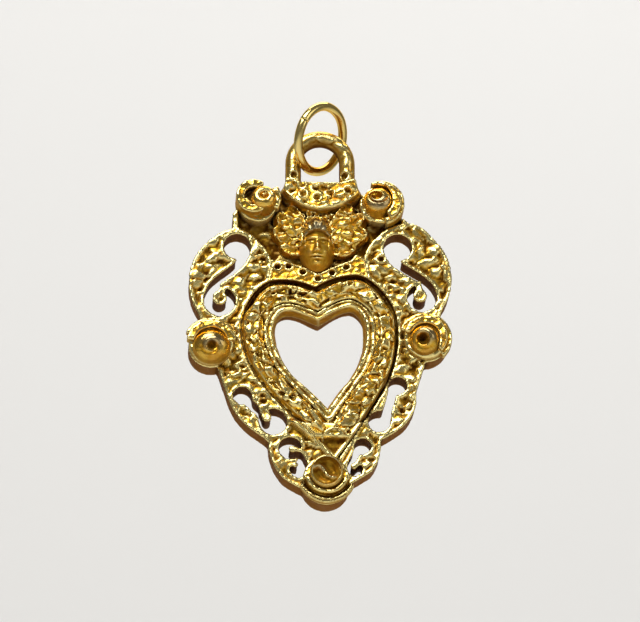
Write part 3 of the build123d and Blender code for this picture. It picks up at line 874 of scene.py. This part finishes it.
def rose_bud(place, seed):
    """Bud of a rose, with how far its plating is bared and how far it is darkened."""
    bud = soft_cast(cad_copy(f"rose_{place}_bud"), grain=0.05, rounds=7)
    if "side" in place:
        put_points(bud, smoothed(bud, points_of(bud), rounds=90))
    if place == "side_left":
        points = points_of(bud)
        middle = points.mean(axis=0)
        put_points(bud, middle + (points - middle) * (1.1, 1.0, 0.96))
    if place == "top_left":
        swell(bud, 0.1)
    bud = hammered(bud, "rose_gold_plate", ripple_size=0.6, ripple_depth=0.1, rim_width=0.02, seed=seed)
    lumps = BUD_LUMPS[place]
    model(bud, lumps)
    if place == "base":
        punch(bud, [BASE_BUD], radius=0.74, depth=0.1, lip=0.22)
    x, drop, height = face_places(bud)
    below_crest = height.max() - height
    bared = 0 if place == "top_left" else 0.8 * step(0.4, 0.1, below_crest)
    # Painted shade on each bud's lower half, darkest at its bottom
    darkened = 0.5 * step(drop.mean(), drop.min(), drop)
    if place == "base":
        rubbed = step(0.5, 1.0, sum(oval(x, drop, *lump) for *lump, _ in lumps))
        bared = np.maximum(bared, 0.7 * rubbed)
        # Painted shade in the base bud's dish under its crest, kept off the rubbed curl
        darkened = 0.7 * step(0.15, 0.35, below_crest) * (1 - rubbed)
    # Painted shade in a side bud's pit
    if "side" in place:
        pit_x, pit_drop = lumps[1][:2]
        darkened = np.maximum(darkened, 0.9 * step(0.42, 0.28, np.hypot(x - pit_x, drop - pit_drop)))
    return bud, bared, darkened


def rose_petals(place, seed):
    """Petals of a rose, with how far they are darkened.

    The base rose's have a groove inside their lower edge.
    """
    at_top = "top" in place
    seat = FIELD if at_top else PANEL
    petals = soft_cast(cad_copy(f"rose_{place}_petals"), grain=0.055, rounds=9)
    raise_floor(petals, low=seat + 0.15, high=seat + 0.45, lift=0.8 if at_top else 0.35)
    swell(petals, 0.07)
    petals = hammered(
        petals, "rose_gold_plate", dent_size=0.6, dent_depth=0.06, ripple_size=0.5, ripple_depth=0.2,
        rim_width=0.02, seed=seed,
    )
    x, drop, height = face_places(petals)
    # Painted shade on the petals' low parts near their seat
    darkened = 0.5 * step(seat + 0.85, seat + 0.55, height)
    if place == "base":
        reach = np.hypot(x - BASE_PETALS[0], drop - BASE_PETALS[1])
        under = step(0.35, 0.75, BASE_PETALS[1] - drop)
        groove = under * np.exp(-(((reach - BASE_GROOVE_RADIUS) / 0.12) ** 2))
        edge = under * np.exp(-(((reach - BASE_EDGE_RADIUS) / 0.1) ** 2))
        push_forward(petals, 0.15 * edge - 0.3 * groove)
        # Painted shade in the groove
        darkened = np.maximum(darkened, 0.9 * groove)
    return petals, darkened


for number, place in enumerate(("top_left", "top_right", "side_left", "side_right", "base")):
    name = f"rose_{place}"
    bud, bared, darkened = rose_bud(place, seed=20 + number)
    set_piece(
        bud, f"{name}_coil", [f"{name}_bud"], "charm", "rose_gold_plate", hollow_depth=0.06, bared=bared,
        darkened=darkened,
    )
    petals, darkened = rose_petals(place, seed=10 + number)
    set_piece(
        petals, f"{name}_leaves", [f"{name}_petals"], "charm", "rose_gold_plate", hollow_depth=0.07,
        darkened=darkened,
    )

# Jump ring of drawn wire, closed on a butt cut
RING_RADIUS, WIRE_RADIUS = 2.54, 0.35
CUT_AT, CUT_WIDTH = radians(164), 0.1
RING_SECTIONS, WIRE_SIDES = 160, 28
yaw, lean = radians(40), radians(22)
ring_normal = Vector((cos(yaw) * cos(lean), -sin(yaw) * cos(lean), -sin(lean)))
ring_across = Vector((sin(yaw), cos(yaw), 0))
ring_up = ring_normal.cross(ring_across)


def wire_section(turn):
    """Points round the wire at a turn of the ring, which is a little out of round."""
    outward = ring_across * cos(turn) + ring_up * sin(turn)
    wobble = 0.012 * sin(3 * turn) + 0.008 * sin(7 * turn + 1)
    return [
        list(outward * (RING_RADIUS + wobble + WIRE_RADIUS * cos(a)) + ring_normal * WIRE_RADIUS * sin(a))
        for a in np.linspace(0, 2 * pi, WIRE_SIDES, endpoint=False)
    ]


last_turn = CUT_AT + 2 * pi - CUT_WIDTH / RING_RADIUS
ring = closed_tube([wire_section(turn) for turn in np.linspace(CUT_AT, last_turn, RING_SECTIONS)])
set_piece(ring, "ring", ["jump_ring"], "jump_ring", "ring_wire")

# Stage, light and camera


def pale_card(name, tone):
    """Plain matt card for the floor and the backdrop."""
    material = bpy.data.materials.new(name)
    material.use_nodes = True
    shader = material.node_tree.nodes["Principled BSDF"]
    shader.inputs["Base Color"].default_value = tone
    shader.inputs["Roughness"].default_value = 0.9
    return material


# Floor that bends up into a wall, in metres
FLOOR_Z, WALL_Y, BEND_RADIUS = -0.26, 0.65, 0.15
FLOOR_FRONT, WALL_TOP, HALF_WIDTH = -1.2, 1.2, 1.5
bend = [
    (WALL_Y - BEND_RADIUS * (1 - sin(a)), FLOOR_Z + BEND_RADIUS * (1 - cos(a)))
    for a in np.linspace(0, pi / 2, 12)
]
profile = [(FLOOR_FRONT, FLOOR_Z), *bend, (WALL_Y, WALL_TOP)]
corners = [(x, y, z) for y, z in profile for x in (-HALF_WIDTH, HALF_WIDTH)]
strips = [(2 * i, 2 * i + 1, 2 * i + 3, 2 * i + 2) for i in range(len(profile) - 1)]
sweep = bpy.data.meshes.new("sweep")
sweep.from_pydata(corners, [], strips)
sweep.materials.append(pale_card("pale card", (0.86, 0.85, 0.83, 1)))
sweep.polygons.foreach_set("use_smooth", [True] * len(sweep.polygons))
backdrop = bpy.data.objects.new("backdrop", sweep)
bpy.context.scene.collection.objects.link(backdrop)


def soft_lamp(name, place, aim, size, power):
    """Square soft box aimed at a point."""
    data = bpy.data.lights.new(name, "AREA")
    data.size = size
    data.energy = power
    lamp = bpy.data.objects.new(name, data)
    lamp.location = place
    lamp.rotation_mode = "QUATERNION"
    lamp.rotation_quaternion = (Vector(aim) - Vector(place)).to_track_quat("-Z", "Y")
    bpy.context.scene.collection.objects.link(lamp)


charm_middle = Vector((0, 0.7, TOP - 9.85)) * MM
soft_lamp("key", (-0.13, -0.35, 0.32), charm_middle, size=0.34, power=2.2)
soft_lamp("fill", (0.4, -0.3, 0.05), charm_middle, size=0.3, power=0.3)
soft_lamp("back", (0.1, 0.25, 0.7), (0, WALL_Y, 0.2), size=0.6, power=4.0)

world = bpy.data.worlds.new("studio")
world.use_nodes = True
world.node_tree.nodes["Background"].inputs["Color"].default_value = (0.15, 0.145, 0.135, 1)
bpy.context.scene.world = world

camera_data = bpy.data.cameras.new("camera")
camera_data.lens = 368.4
camera_data.clip_start = 0.005
camera = bpy.data.objects.new("camera", camera_data)
camera_distance = 0.5
below, round_left = radians(-20), radians(-3)
toward = Vector((sin(round_left) * cos(below), -cos(round_left) * cos(below), sin(below)))
camera.location = charm_middle + camera_distance * toward
camera.rotation_mode = "QUATERNION"
camera.rotation_quaternion = (-toward).to_track_quat("-Z", "Y")
bpy.context.scene.collection.objects.link(camera)
bpy.context.scene.camera = camera
bpy.context.scene.view_settings.view_transform = "Standard"
